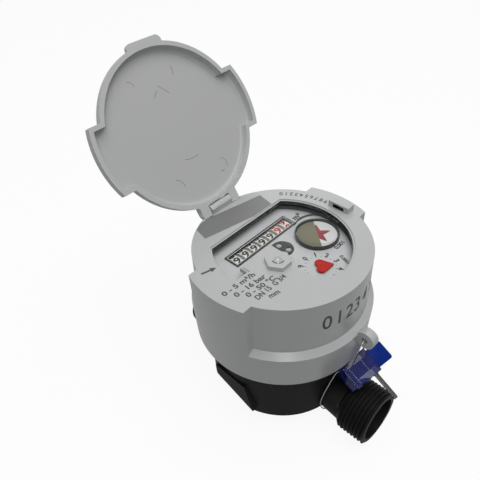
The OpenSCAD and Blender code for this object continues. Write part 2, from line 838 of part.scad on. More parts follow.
// A point on the smooth curve through four neighbouring route points
function between(a, b, c, d, t) =
    0.5 * (2 * b + (c - a) * t + (2 * a - 5 * b + 4 * c - d) * t * t + (3 * b - a - 3 * c + d) * t * t * t);
function route_point(p, i) = p[max(0, min(len(p) - 1, i))];
function smooth_route(p, n) = [
    for (i = [0 : len(p) - 2], k = [0 : n - 1])
        between(route_point(p, i - 1), p[i], p[i + 1], route_point(p, i + 2), k / n),
    p[len(p) - 1]];
function unit(v) = v / norm(v);
function heading(p, i) = unit(route_point(p, i + 1) - route_point(p, i - 1));
function side_of(v, t) = unit(v - (v * t) * t);
function carried_sides(p, i) =
    i == 0 ? [side_of([1, 0, 0], heading(p, 0))]
           : let(before = carried_sides(p, i - 1)) concat(before, [side_of(before[i - 1], heading(p, i))]);

module tube(p, r, n) {
    sides = carried_sides(p, len(p) - 1);
    last = len(p) - 1;
    points = [for (i = [0 : last], k = [0 : n - 1])
        p[i] + r * (cos(360 * k / n) * sides[i] + sin(360 * k / n) * cross(heading(p, i), sides[i]))];
    walls = [for (i = [0 : last - 1], k = [0 : n - 1])
        let(m = (k + 1) % n) [i * n + k, (i + 1) * n + k, (i + 1) * n + m, i * n + m]];
    polyhedron(points, concat(walls, [[for (k = [0 : n - 1]) k]], [[for (k = [n - 1 : -1 : 0]) last * n + k]]));
}

module seal_wire() {
    color(steel) tube(smooth_route(wire_route, wire_steps), wire_r, wire_sides);
}

body();
inlet_strainer();
measuring_chamber();
chamber_cover();
pivot_pin();
impeller();
pressure_plate();
o_ring();
retaining_ring();
register_case();
movement();
driven_magnet();
dial_plate();
counter_frame();
drum_axle();
for (i = [1 : drum_count]) drum(i);
star_indicator();
heart_pointer();
target_disc();
target_bezel();
register_cover();
shroud();
lid();
hinge_pin();
name_plate();
seal_body();
seal_rotor();
seal_wire();
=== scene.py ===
"""Looks of the water meter: finishes, print, pipe threads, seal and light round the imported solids."""
import bpy
import json
import math
from mathutils import Matrix, Vector


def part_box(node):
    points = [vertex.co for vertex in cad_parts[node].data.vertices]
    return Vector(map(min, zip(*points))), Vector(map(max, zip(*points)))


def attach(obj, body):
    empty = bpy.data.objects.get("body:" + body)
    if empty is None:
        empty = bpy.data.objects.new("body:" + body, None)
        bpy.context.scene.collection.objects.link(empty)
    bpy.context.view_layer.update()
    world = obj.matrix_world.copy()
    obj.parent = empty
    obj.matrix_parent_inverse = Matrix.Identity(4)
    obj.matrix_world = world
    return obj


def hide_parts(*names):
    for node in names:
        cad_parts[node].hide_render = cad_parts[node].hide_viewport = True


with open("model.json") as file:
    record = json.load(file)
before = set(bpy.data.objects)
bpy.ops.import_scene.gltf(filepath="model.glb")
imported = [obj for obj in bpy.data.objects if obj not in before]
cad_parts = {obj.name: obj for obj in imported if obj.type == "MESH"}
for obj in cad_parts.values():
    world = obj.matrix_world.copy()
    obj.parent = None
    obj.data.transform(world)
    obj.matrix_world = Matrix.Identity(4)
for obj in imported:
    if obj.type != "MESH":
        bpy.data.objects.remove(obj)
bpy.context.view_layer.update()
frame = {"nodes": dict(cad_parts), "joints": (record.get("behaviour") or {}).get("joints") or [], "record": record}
nodes = frame["nodes"]
MM = 0.001


def in_mm(place):
    return [round(v / MM, 3) for v in place]


# Sizes and places that the frame gives, in millimetres
joints = {joint["child"]: joint for joint in frame["joints"]}
pivots = {child: in_mm(joint["pos_m"]) for child, joint in joints.items()}
boxes = {node: [in_mm(corner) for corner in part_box(node)]
         for node in ("body", "dial_plate", "name_plate", "drum_1")}
PORT_Z = pivots["impeller"][2]
INLET_END, OUTLET_END = (corner[0] for corner in boxes["body"])
RING_TOP, DIAL_Z = (boxes[node][1][2] for node in ("name_plate", "dial_plate"))
DRUM_X, FIRST_DRUM_Y, DRUM_Z = pivots["drum_1"]
DRUM_R = boxes["drum_1"][1][2] - DRUM_Z
DRUM_PITCH = pivots["drum_2"][1] - FIRST_DRUM_Y
STAR, HEART, TARGET = (pivots[child][:2] for child in ("star_indicator", "heart_pointer", "target_disc"))
HINGE, LID_OPEN = pivots["lid"], math.radians(joints["lid"]["range_deg"][1])

# Sizes and places of the solids that it doesn't give
THREAD_R = 13.22
PITCH = 1.814
RING_R = 38.1
SEAL_AT, SEAL_LEAN, SEAL_TURN = (42.0, 3.6, 33.161), math.radians(20), math.radians(-8)
SEAL_SIZE = (12.0, 15.5, 7.0)
EYE_AT = (44.013, 2.4, 58.6)
BOSS, BOSS_TOP = (7.1, -10.8), 89.8
KEEPER, KEEPER_SLOT = (4.8, 35.2), (2.9, 2.5, 0.3, 2.15)
POT_R = 33.9
WINDOW_R, TURRET_R = 35, 10.6
LID_INSIDE = 91.7

# Print: how far it stands out, the rows with their places, and what each drum shows
PRINT = 0.03
RING_ROWS = (("0 - 5 m³/h", (4, -38.1), (5.1, -21.8)), ("0 - 16 bar", (7.8, -35.3), (8.9, -19.7)),
             ("0 - 50 °C", (11.1, -32.4), (12.4, -17.8)), ("DN 15  G 3/4", (14.7, -30.9), (14.8, -14.5)),
             ("mm", (17.6, -27.2), (18.5, -22.5)))
DIAL_ROWS = (("0.001", 2.0, (16.5, 20.0), 90), ("0.0001", 1.6, (22.5, 13.0), -19),
             ("m³", 3.2, (-9.4, 23.2), 90))
SIDE_DIGITS = (("0", -22.5), ("1", -13.8), ("2", -5.7), ("3", 1.8), ("4", 11.2), ("5", 21.5))
READING = (8.9, 8.9, 8.9, 8.9, 8.9, 8.9, 9.4)

# Mould marks of the closed lid: middle, radius, start and sweep
LID_ARCS = ((0.4, 1.0, 13.9, 169, 32), (-22.7, -14.7, 4.5, 20, 78), (-22.5, 12.9, 2.9, 12, 120),
            (-24.2, 12.1, 1.2, 147, 103), (-13.4, -36.2, 50.0, 47, 7), (24.1, -13.0, 2.8, 8, 85),
            (25.7, 4.5, 6.5, 84, 36), (8.2, 6.6, 13.3, -52, 16))

# Wire's strands, and the length of one twist
STRAND_R, TWIST = 0.17, 2.4

# Lamps by place, size and watts; camera by place, angles and lens
LAMPS = (("key", (0.16, 0.06, 1.15), 1.0, 8.2), ("back", (-0.8, 0.85, 0.55), 0.8, 1.4),
         ("left", (-0.9, -0.75, 0.45), 0.8, 1.3), ("front", (0.64, -0.62, 1.04), 0.45, 1.75))
CAMERA_AT, CAMERA_TURN, CAMERA_LENS = (106.1, -126.5, 231.3), (46.07, 40.67, -3.48), 39.0


# Working by hand on one object

def only(obj):
    if bpy.context.object and bpy.context.object.mode != "OBJECT":
        bpy.ops.object.mode_set(mode="OBJECT")
    bpy.ops.object.select_all(action="DESELECT")
    bpy.context.view_layer.objects.active = obj
    obj.select_set(True)


def edit(obj, kind="VERT", everything=True):
    only(obj)
    bpy.ops.object.mode_set(mode="EDIT")
    bpy.ops.mesh.select_mode(type=kind)
    bpy.ops.mesh.select_all(action="SELECT" if everything else "DESELECT")


def leave():
    bpy.ops.object.mode_set(mode="OBJECT")


def edit_faces(obj, wanted):
    edit(obj, "FACE", False)
    leave()
    for face in obj.data.polygons:
        face.select = wanted(face)
    bpy.ops.object.mode_set(mode="EDIT")


def edit_edges(obj, wanted):
    edit(obj, "EDGE", False)
    leave()
    points = obj.data.vertices
    for edge in obj.data.edges:
        edge.select = wanted(points[edge.vertices[0]].co, points[edge.vertices[1]].co)
    bpy.ops.object.mode_set(mode="EDIT")


def settle(obj):
    """Puts the object's place into its mesh."""
    only(obj)
    bpy.ops.object.transform_apply(location=True, rotation=True, scale=True)


def modify(obj, kind, **settings):
    only(obj)
    modifier = obj.modifiers.new(kind.lower(), kind)
    for key, value in settings.items():
        setattr(modifier, key, value)
    bpy.ops.object.modifier_apply(modifier=modifier.name)


def join(pieces, name):
    only(pieces[0])
    for piece in pieces[1:]:
        piece.select_set(True)
    if len(pieces) > 1:
        bpy.ops.object.join()
    obj = bpy.context.object
    obj.name = name
    return obj


def copy_of(obj, name):
    twin = bpy.data.objects.new(name, obj.data.copy())
    bpy.context.scene.collection.objects.link(twin)
    return twin


def new_mesh(add, **settings):
    bpy.ops.object.select_all(action="DESELECT")
    add(**settings)
    return bpy.context.object


def lift(height):
    """Draws what is selected straight up."""
    bpy.ops.mesh.extrude_region_move(TRANSFORM_OT_translate={"value": (0, 0, height * MM)})


def turn_outward():
    """Turns every face outward and leaves edit mode."""
    bpy.ops.mesh.select_all(action="SELECT")
    bpy.ops.mesh.normals_make_consistent(inside=False)
    leave()


def solid_copy(node):
    """A merged copy of a CAD node's mesh, with its flat faces in one piece each."""
    obj = copy_of(nodes[node], node + "_dressed")
    obj.data.materials.clear()
    edit(obj)
    bpy.ops.mesh.customdata_custom_splitnormals_clear()
    bpy.ops.mesh.remove_doubles(threshold=1e-6)
    bpy.ops.mesh.dissolve_limited(angle_limit=math.radians(0.3), delimit=set())
    leave()
    return obj


def soften(obj, angle=32):
    only(obj)
    bpy.ops.object.shade_smooth_by_angle(angle=math.radians(angle))


def dress(obj, body, slot, *replaced):
    obj.data.materials.clear()
    obj.data.materials.append(FINISH[slot])
    if replaced:
        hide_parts(*replaced)
    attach(obj, body)
    return obj


# Shader expressions

class Sock:
    """A shader socket that takes part in expressions; any other node is made through it."""

    def __init__(self, tree, socket=None):
        self.tree, self.socket = tree, socket

    def make(self, kind, settings=None, inputs=None, out=0):
        node = self.tree.nodes.new(kind)
        for key, value in (settings or {}).items():
            setattr(node, key, value)
        for key, value in (inputs or {}).items():
            if isinstance(value, Sock):
                self.tree.links.new(value.socket, node.inputs[key])
            else:
                node.inputs[key].default_value = value
        return Sock(self.tree, node.outputs[out])

    def math(self, operation, *values):
        return self.make("ShaderNodeMath", {"operation": operation}, dict(enumerate(values)))

    def __add__(self, other):
        return self.math("ADD", self, other)

    def __radd__(self, other):
        return self.math("ADD", other, self)

    def __sub__(self, other):
        return self.math("SUBTRACT", self, other)

    def __rsub__(self, other):
        return self.math("SUBTRACT", other, self)

    def __mul__(self, other):
        return self.math("MULTIPLY", self, other)

    def __rmul__(self, other):
        return self.math("MULTIPLY", other, self)

    def __truediv__(self, other):
        return self.math("DIVIDE", self, other)

    def __pow__(self, other):
        return self.math("POWER", self, other)

    def __gt__(self, other):
        return self.math("GREATER_THAN", self, other)

    def __lt__(self, other):
        return self.math("LESS_THAN", self, other)

    def __abs__(self):
        return self.math("ABSOLUTE", self)

    def fraction(self):
        return self.math("FRACT", self)

    def xyz(self):
        parts = self.make("ShaderNodeSeparateXYZ", None, {0: self}).socket.node
        return [Sock(self.tree, output) for output in parts.outputs]

    def tint(self, low, high):
        """A colour from low to high as this value goes from 0 to 1."""
        ends = {6: low, 7: high}
        ends = {k: v if isinstance(v, Sock) else (*v, 1.0) for k, v in ends.items()}
        return self.make("ShaderNodeMix", {"data_type": "RGBA"}, {0: self, **ends}, 2)


FINISH = {}


class Finish:
    """A Principled material with fine grain and slow mottling, kept under its slot's name."""

    def __init__(self, slot, colour, rough, of=None, grain=1400, mottle=0.05, bump=0.08, **constants):
        material = bpy.data.materials.new(slot)
        material.use_nodes = True
        tree = material.node_tree
        self.shader = tree.nodes["Principled BSDF"]
        self.start = Sock(tree)
        self.place = self.start.make("ShaderNodeTexCoord", out="Object")
        self.cloud = self.noise(55, 4)
        self.grit = self.noise(grain, 3)
        self.colour = self.cloud.tint([c * (1 - mottle) for c in colour],
                                      [min(1, c * (1 + mottle)) for c in colour])
        self.rough = rough + (self.grit - 0.5) * 0.12 + (self.cloud - 0.5) * 0.08
        self.height = self.grit
        self.bump = bump
        for key, value in constants.items():
            self.shader.inputs[key.replace("_", " ").title().replace("Ior", "IOR")].default_value = value
        FINISH[slot] = material

    def noise(self, scale, detail=2, stretch=None):
        place = self.place
        if stretch:
            place = self.start.make("ShaderNodeMapping", None, {"Vector": place, "Scale": stretch})
        inputs = {"Vector": place, "Scale": scale, "Detail": detail}
        return self.start.make("ShaderNodeTexNoise", None, inputs)

    def link(self, name, value):
        self.start.tree.links.new(value.socket, self.shader.inputs[name])

    def close(self, depth=0.03):
        self.link("Base Color", self.colour)
        self.link("Roughness", self.rough)
        self.link("Normal", self.start.make("ShaderNodeBump", None, {
            "Strength": self.bump, "Distance": depth * MM, "Height": self.height}))


def worn_plastic(slot, colour, rough, dust=0.06, **constants):
    """Moulded grey plastic: fine grain, faint rub marks and a little dust on what faces up."""
    f = Finish(slot, colour, rough, grain=2200, mottle=0.025, bump=0.12, **constants)
    rub = f.noise(160, 5, (1.0, 0.16, 0.5))
    rub = (rub > 0.68) * f.noise(30, 2)
    f.facing = f.start.make("ShaderNodeTexCoord", out="Normal").xyz()
    dirt = ((f.noise(420, 6) > 0.66) * (f.facing[2] > 0.5)) * dust
    f.colour = (rub * 0.04 + dirt).tint(f.colour, [c * 0.62 for c in colour])
    f.rough = f.rough + rub * 0.05
    return f


def moulded_finishes():
    """Shroud, lid and body; the window's wall is darker, and painted shade darkens the keeper's slot and the lid's
    floor.
    """
    f = worn_plastic("shroud_grey", (0.465, 0.475, 0.477), 0.24, specular_ior_level=0.8)
    x, y, z = f.place.xyz()
    nx, ny = f.facing[:2]
    back = (x < -10 * MM) + (y > -10 * MM)
    window_wall = (nx * x + ny * y < 0) * (z < (RING_TOP - 0.6) * MM) * (z > DIAL_Z * MM)
    window_wall = window_wall * (x * x + y * y < (WINDOW_R * MM) ** 2) * back.math("MINIMUM", back, 1.0)
    # Painted shade: the keeper's slot is coloured near black, standing in for the shade inside it.
    half_long, half_wide, low, high = KEEPER_SLOT
    slot = (abs(x - KEEPER[0] * MM) < half_long * MM) * (abs(y - KEEPER[1] * MM) < half_wide * MM)
    slot = slot * (z > (RING_TOP + low) * MM) * (z < (RING_TOP + high) * MM)
    f.colour = slot.tint(window_wall.tint(f.colour, (0.02, 0.02, 0.021)), (0.012, 0.012, 0.013))
    f.close()

    f = worn_plastic("lid_grey", (0.5, 0.508, 0.508), 0.38)
    x, z = f.place.xyz()[::2]
    nx, nz = f.facing[::2]
    rise = (x - HINGE[0] * MM) * math.sin(LID_OPEN) - (z - HINGE[2] * MM) * math.cos(LID_OPEN)
    # Painted shade: the lid's inner floor is a little darker, standing in for the shade inside the lid.
    floor = (abs(rise + 2.4 * MM) < 0.6 * MM) * (nx * math.sin(LID_OPEN) - nz * math.cos(LID_OPEN) > 0.7)
    f.colour = floor.tint(f.colour, (0.462, 0.468, 0.466))
    f.close()

    f = Finish("body_black", (0.007, 0.007, 0.0072), 0.5, grain=1800, mottle=0.25, bump=0.25,
               specular_ior_level=0.13)
    scuff = f.noise(240, 6) > 0.66
    f.colour = (scuff * 0.35).tint(f.colour, (0.05, 0.05, 0.05))
    f.rough = f.rough + scuff * 0.1
    f.close(0.05)


def plain_finishes():
    """Finishes of one colour each."""
    Finish("white_plastic", (0.8, 0.81, 0.81), 0.4).close()
    for slot in ("case_black", "frame_black", "bezel_black", "star_black"):
        Finish(slot, (0.011, 0.011, 0.012), 0.3 if slot in ("bezel_black", "star_black") else 0.5).close()
    Finish("rubber_black", (0.014, 0.014, 0.014), 0.75, bump=0.2).close()
    metals = (("steel", (0.55, 0.54, 0.52), 0.32), ("magnet_grey", (0.28, 0.28, 0.29), 0.4),
              ("wire_steel", (0.42, 0.41, 0.38), 0.42))
    for slot, colour, rough in metals:
        f = Finish(slot, colour, rough, metallic=1.0)
        drawn = f.noise(900, 2, (0.05, 0.05, 1.0))
        f.rough = f.rough + (drawn - 0.5) * 0.2
        f.close()
    f = Finish("plate_grey", (0.19, 0.191, 0.191), 0.42, metallic=0.15, mottle=0.06)
    f.height = f.noise(700, 3, (0.06, 1.0, 1.0))
    f.close(0.02)
    Finish("dial_white", (0.55, 0.56, 0.565), 0.5, mottle=0.015, bump=0.04).close()
    Finish("pointer_red", (0.47, 0.013, 0.006), 0.45, specular_ior_level=0.15).close()
    Finish("print_black", (0.02, 0.02, 0.021), 0.55, of="frame_black").close()
    Finish("print_grey", (0.055, 0.052, 0.052), 0.55, of="frame_black").close()
    Finish("print_red", (0.42, 0.012, 0.016), 0.5, of="pointer_red").close()
    Finish("petal_white", (0.4, 0.41, 0.42), 0.3, of="dial_white").close()
    Finish("seal_blue", (0.0005, 0.019, 0.2), 0.45, specular_ior_level=0.1, mottle=0.08).close()


def register_finishes():
    """Drums that are darker near both rims, and the target with its star and half-moon."""
    f = Finish("drum_white", (0.76, 0.76, 0.72), 0.5, mottle=0.03)
    along = (f.place.xyz()[1] / (DRUM_PITCH * MM) + 0.5).fraction()
    rim = abs(along - 0.5) > 0.33
    f.colour = rim.tint(f.colour, (0.26, 0.25, 0.22))
    f.close()

    f = Finish("target_white", (0.66, 0.67, 0.66), 0.4, mottle=0.03)
    x, y = f.place.xyz()[:2]
    x, y = x - TARGET[0] * MM, y - TARGET[1] * MM
    reach = (x * x + y * y) ** 0.5
    points, start = 5, 11
    turn = f.start.math("ARCTAN2", y, x) * (points / math.tau) + points * start / 360 + 9.5
    spike = 1 - 2 * abs(turn.fraction() - 0.5)
    tip, valley = 6.6 * MM, 2.7 * MM
    star = reach * (1 / valley - spike * (1 / valley - 1 / tip)) < 1
    cut = math.radians(230)
    half = x * math.cos(cut) + y * math.sin(cut) > -0.3 * MM
    f.colour = star.tint(f.colour, (0.24, 0.006, 0.014))
    f.colour = half.tint(f.colour, (0.15, 0.145, 0.085))
    f.close()


def clear_finishes():
    """The register's cover, the seal's housing and its ribs, which are seen through; the turret's wall is dark as
    a painted refraction, and the ribs are pale as a painted highlight.
    """
    f = Finish("cover_clear", (0.6, 0.62, 0.64), 0.05, mottle=0.02, bump=0.02)
    x, y = f.place.xyz()[:2]
    upright = abs(f.start.make("ShaderNodeTexCoord", out="Normal").xyz()[2]) < 0.5
    x, y = x - TARGET[0] * MM, y - TARGET[1] * MM
    # Painted refraction: the turret's upright wall is coloured near black, and more opaque on the side away from
    # the camera.
    wall = upright * ((x * x + y * y) ** 0.5 < TURRET_R * MM)
    gloss = f.start.make("ShaderNodeFresnel", None, {"IOR": 1.3})
    f.colour = wall.tint(f.colour, (0.012, 0.013, 0.015))
    camera_far_side = x * 0.72 - y * 0.69 < 0
    f.link("Alpha", 0.005 + gloss * 0.06 + wall * (0.15 + 0.65 * camera_far_side))
    f.rough = 0.04 + f.grit * 0.04
    f.close()

    f = Finish("seal_clear", (0.003, 0.011, 0.17), 0.06, mottle=0.02, bump=0.02, specular_ior_level=0.35)
    gloss = f.start.make("ShaderNodeFresnel", None, {"IOR": 1.45})
    streak = f.noise(350, 2, (1.0, 0.15, 0.6))
    ahead = seal_frame().to_3x3() @ Vector((1, 0, 0))
    reach = [(p - q * MM) * w for p, q, w in zip(f.place.xyz(), SEAL_AT, ahead)]
    tail = reach[0] + reach[1] + reach[2] > (SEAL_SIZE[0] / 2 + 0.2) * MM
    f.colour = tail.tint(f.colour, (0.045, 0.045, 0.042))
    f.link("Alpha", 0.56 + streak * 0.2 + gloss * 0.25 + tail * 0.15)
    f.rough = 0.05 + f.grit * 0.05
    f.close()

    # Painted highlight: the ribs are paler than the housing, standing in for the light that their edges reflect.
    f = Finish("rib_highlight", (0.3, 0.33, 0.45), 0.15, of="seal_clear", mottle=0.1)
    f.link("Alpha", 0.12 + f.cloud * 0.45)
    f.close()


# Print: letters are thin solids that stand a few hundredths out of the face they are on

def letters(text, height, bold=0.012, centred=False):
    """Letters as a mesh, with their foot, or their middle if centred, on the X axis."""
    bpy.ops.object.select_all(action="DESELECT")
    bpy.ops.object.text_add()
    obj = bpy.context.object
    obj.data.body = text
    obj.data.size = height / 0.72 * MM
    obj.data.extrude = PRINT * MM
    obj.data.offset = bold * height * MM
    obj.data.resolution_u = 4
    obj.data.align_x, obj.data.align_y = "CENTER", "BOTTOM_BASELINE"
    bpy.ops.object.convert(target="MESH")
    edit(obj)
    bpy.ops.mesh.remove_doubles(threshold=2e-7)
    leave()
    if centred:
        for v in obj.data.vertices:
            v.co.y -= height / 2 * MM
    return obj


def put(obj, at, turn=0.0, scale=(1, 1, 1)):
    obj.location = [v * MM for v in at]
    obj.rotation_euler = (0, 0, math.radians(turn))
    obj.scale = scale
    settle(obj)
    return obj


def line_of_letters(text, height, start, end, z):
    """Letters on a flat face, spread out between start and end."""
    way = Vector(end) - Vector(start)
    obj = letters(text, height, bold=0.045)
    xs = [v.co.x for v in obj.data.vertices]
    low, high = min(xs), max(xs)
    squeeze = min(1.25, max(0.8, way.length * MM / (high - low)))
    middle = (Vector(start) + Vector(end)) / 2
    for v in obj.data.vertices:
        v.co.x -= (low + high) / 2
    return put(obj, (*middle, z), math.degrees(math.atan2(way.y, way.x)), (squeeze, 1, 1))


def cut_across(obj, normal, low, high, step):
    """Cuts a flat mesh into strips, so that it can follow a round face."""
    edit(obj)
    count = int((high - low) / step)
    for i in range(1, count):
        bpy.ops.mesh.select_all(action="SELECT")
        bpy.ops.mesh.bisect(plane_co=[n * (low + i * step) for n in normal], plane_no=normal)
    leave()


def dial_print():
    """The heart pointer's scale and the dial's other rows."""
    pieces, reach = [], 8.2
    for n in range(10):
        turn = 180 - 36 * n
        way = math.radians(turn)
        x, y = HEART[0] + reach * math.cos(way), HEART[1] + reach * math.sin(way)
        pieces.append(put(letters(str(n), 2.3, 0.05, True), (x, y, DIAL_Z), turn - 90))
    tick = tick_mark(0.9, 0.22)
    for i in range(20):
        way = 18 * i
        mark = copy_of(tick, "tick")
        reach, length = (6.6, 0.6) if i % 2 else (6.45, 1)
        x = HEART[0] + reach * math.cos(math.radians(way))
        y = HEART[1] + reach * math.sin(math.radians(way))
        pieces.append(put(mark, (x, y, DIAL_Z), way, (length, 1, 1)))
    bpy.data.objects.remove(tick)
    for text, height, at, turn in DIAL_ROWS:
        pieces.append(put(letters(text, height, 0.055), (*at, DIAL_Z), turn))
    dress(join(pieces, "dial_print"), "meter", "print_black")


def tick_mark(length, width):
    """A short bar with eased ends, lying along X."""
    obj = new_mesh(bpy.ops.mesh.primitive_plane_add, size=1)
    obj.scale = (length * MM, width * MM, 1)
    settle(obj)
    edit(obj)
    bpy.ops.mesh.bevel(offset=width * 0.3 * MM, segments=2, affect="VERTICES")
    lift(PRINT)
    turn_outward()
    return obj


def ring_print():
    pieces = [line_of_letters(text, 2.35, a, b, RING_TOP) for text, a, b in RING_ROWS]
    first, last, reach = 131, 95, 34.4
    for i in range(10):
        way = first - i * (first - last) / 9
        at = (reach * math.cos(math.radians(way)), reach * math.sin(math.radians(way)), RING_TOP)
        pieces.append(put(letters(str(i), 2.4, 0.03, True), at, way + 90))
    pieces.append(flow_arrow())
    dress(join(pieces, "ring_print"), "meter", "print_grey")


def flow_arrow():
    """A plain arrow on the ring: a bar whose end is drawn out to a head."""
    length, width, flare, head = 4.2, 0.9, 2.9, 2.6
    obj = new_mesh(bpy.ops.mesh.primitive_plane_add, size=1)
    obj.scale = (length * MM, width * MM, 1)
    settle(obj)
    edit_edges(obj, lambda a, b: min(a.x, b.x) > (length / 2 - 0.2) * MM)
    bpy.ops.mesh.extrude_region_move(TRANSFORM_OT_translate={"value": (0, 0, 0)})
    bpy.ops.transform.resize(value=(1, flare, 1), center_override=(length / 2 * MM, 0, 0))
    bpy.ops.mesh.extrude_region_move(TRANSFORM_OT_translate={"value": (head * MM, 0, 0)})
    bpy.ops.mesh.merge(type="CENTER")
    bpy.ops.mesh.select_all(action="SELECT")
    lift(PRINT)
    bpy.ops.mesh.select_all(action="SELECT")
    bpy.ops.mesh.remove_doubles(threshold=1e-7)
    turn_outward()
    return put(obj, (-10.9, -33.6, RING_TOP), 74)


def side_print():
    """Large digits that follow the recessed wall of the shroud."""
    pieces, foot, narrow = [], 72.9, 0.88
    for text, way in SIDE_DIGITS:
        digit = letters(text, 7.6)
        cut_across(digit, (1, 0, 0), -3.5 * MM, 3.5 * MM, 0.5 * MM)
        for v in digit.data.vertices:
            x, y, z = v.co
            turn = math.radians(way) + x * narrow / (RING_R * MM)
            reach = RING_R * MM + z
            v.co = (reach * math.cos(turn), reach * math.sin(turn), foot * MM + y)
        pieces.append(digit)
    dress(join(pieces, "side_print"), "meter", "print_grey")


def drum_numbers():
    """One band of ten numbers, wrapped round a drum at the middle, then copied to each drum."""
    step = math.tau / 10
    pieces = []
    for n in range(10):
        number = letters(str(n), 3.6, 0.045, True)
        for v in number.data.vertices:
            v.co.x *= 1.18
            v.co.y -= n * step * DRUM_R * MM
        pieces.append(number)
    band = join(pieces, "drum_numbers")
    cut_across(band, (0, 1, 0), -10 * step * DRUM_R * MM, step * DRUM_R * MM, 0.4 * MM)
    for v in band.data.vertices:
        across, along, out = v.co
        turn, reach = along / (DRUM_R * MM), DRUM_R * MM + out
        v.co = (-reach * math.sin(turn), across, reach * math.cos(turn))
    for i, shown in enumerate(READING, 1):
        copy = copy_of(band, "drum_%d_numbers" % i)
        copy.rotation_euler = (0, -shown * step, 0)
        copy.location = [v * MM for v in pivots["drum_%d" % i]]
        settle(copy)
        dress(copy, "drum_%d" % i, "print_red" if i > 5 else "print_black")
    bpy.data.objects.remove(band)


def counter_line():
    """The thin pale line inside the counter's black frame."""
    obj = new_mesh(bpy.ops.mesh.primitive_plane_add, size=1)
    obj.scale = (6.35 * MM, 36.7 * MM, 1)
    settle(obj)
    edit(obj, "FACE")
    bpy.ops.mesh.inset(thickness=0.2 * MM)
    bpy.ops.mesh.delete(type="FACE")
    bpy.ops.mesh.select_all(action="SELECT")
    lift(PRINT)
    turn_outward()
    put(obj, (DRUM_X, 0, DIAL_Z + 0.49))
    obj.name = "counter_line"
    dress(obj, "meter", "white_plastic")


def star_petals():
    """Pale crowned inlays in the star's three holes."""
    petal = new_mesh(bpy.ops.mesh.primitive_circle_add, vertices=32, radius=1.24 * MM, fill_type="NGON")
    edit(petal, "FACE")
    lift(0.4)
    bpy.ops.mesh.inset(thickness=0.3 * MM)
    bpy.ops.transform.translate(value=(0, 0, 0.12 * MM))
    bpy.ops.mesh.inset(thickness=0.4 * MM)
    bpy.ops.transform.translate(value=(0, 0, 0.06 * MM))
    turn_outward()
    pieces, reach = [], 2.75
    for i in range(3):
        way = math.radians(40 + 120 * i)
        at = (STAR[0] + reach * math.cos(way), STAR[1] + reach * math.sin(way), DIAL_Z - 0.95)
        pieces.append(put(copy_of(petal, "petal"), at))
    bpy.data.objects.remove(petal)
    soften(dress(join(pieces, "star_petals"), "star_indicator", "petal_white"))


# Body with its two pipe threads

def thread_tool(mouth, way):
    """A screw-shaped tool that leaves the groove of a pipe thread; it runs from the mouth inwards."""
    tool = new_mesh(bpy.ops.mesh.primitive_plane_add, size=1)
    rim, root = (0.86, THREAD_R + 0.18), (0.14, THREAD_R - 1.1)
    for v in tool.data.vertices:
        half, reach = rim if v.co.y > 0 else root
        v.co = (math.copysign(half, v.co.x) * MM, reach * MM, 0)
    edit(tool, "FACE")
    bpy.ops.mesh.delete(type="ONLY_FACE")
    modify(tool, "SCREW", axis="X", screw_offset=-way * PITCH * MM, iterations=9, steps=72, render_steps=72,
           use_smooth_shade=False)
    edit(tool, "EDGE")
    bpy.ops.mesh.fill_holes(sides=4)
    turn_outward()
    return put(tool, (mouth + way * 1.2, 0, PORT_Z))


def threaded_body():
    body = solid_copy("body")
    for mouth, way in ((OUTLET_END, 1), (INLET_END, -1)):
        tool = thread_tool(mouth, way)
        modify(body, "BOOLEAN", operation="DIFFERENCE", solver="EXACT", object=tool)
        bpy.data.objects.remove(tool)
    soften(body, 30)
    dress(body, "meter", "body_black", "body")


def eased_copy(node, body, slot, width):
    """A CAD node's copy whose sharp edges are broken, as a moulded part's are."""
    obj = solid_copy(node)
    modify(obj, "BEVEL", width=width * MM, segments=2, limit_method="ANGLE", angle_limit=math.radians(35),
           use_clamp_overlap=True)
    soften(obj, 34)
    modify(obj, "WEIGHTED_NORMAL", mode="FACE_AREA", weight=100, keep_sharp=True)
    return dress(obj, body, slot, node)


# Seal wire: two strands twisted round the route of the wire's solid

def smooth_route(points, steps):
    """A smooth curve through the points, with some steps from each to the next."""
    last = len(points) - 1
    route = []
    for i in range(last):
        a, b, c, d = (Vector(points[max(0, min(last, i + k))]) for k in (-1, 0, 1, 2))
        for k in range(steps):
            t = k / steps
            route.append(0.5 * (2 * b + (c - a) * t + (2 * a - 5 * b + 4 * c - d) * t * t
                                + (3 * b - a - 3 * c + d) * t ** 3))
    return route + [Vector(points[-1])]


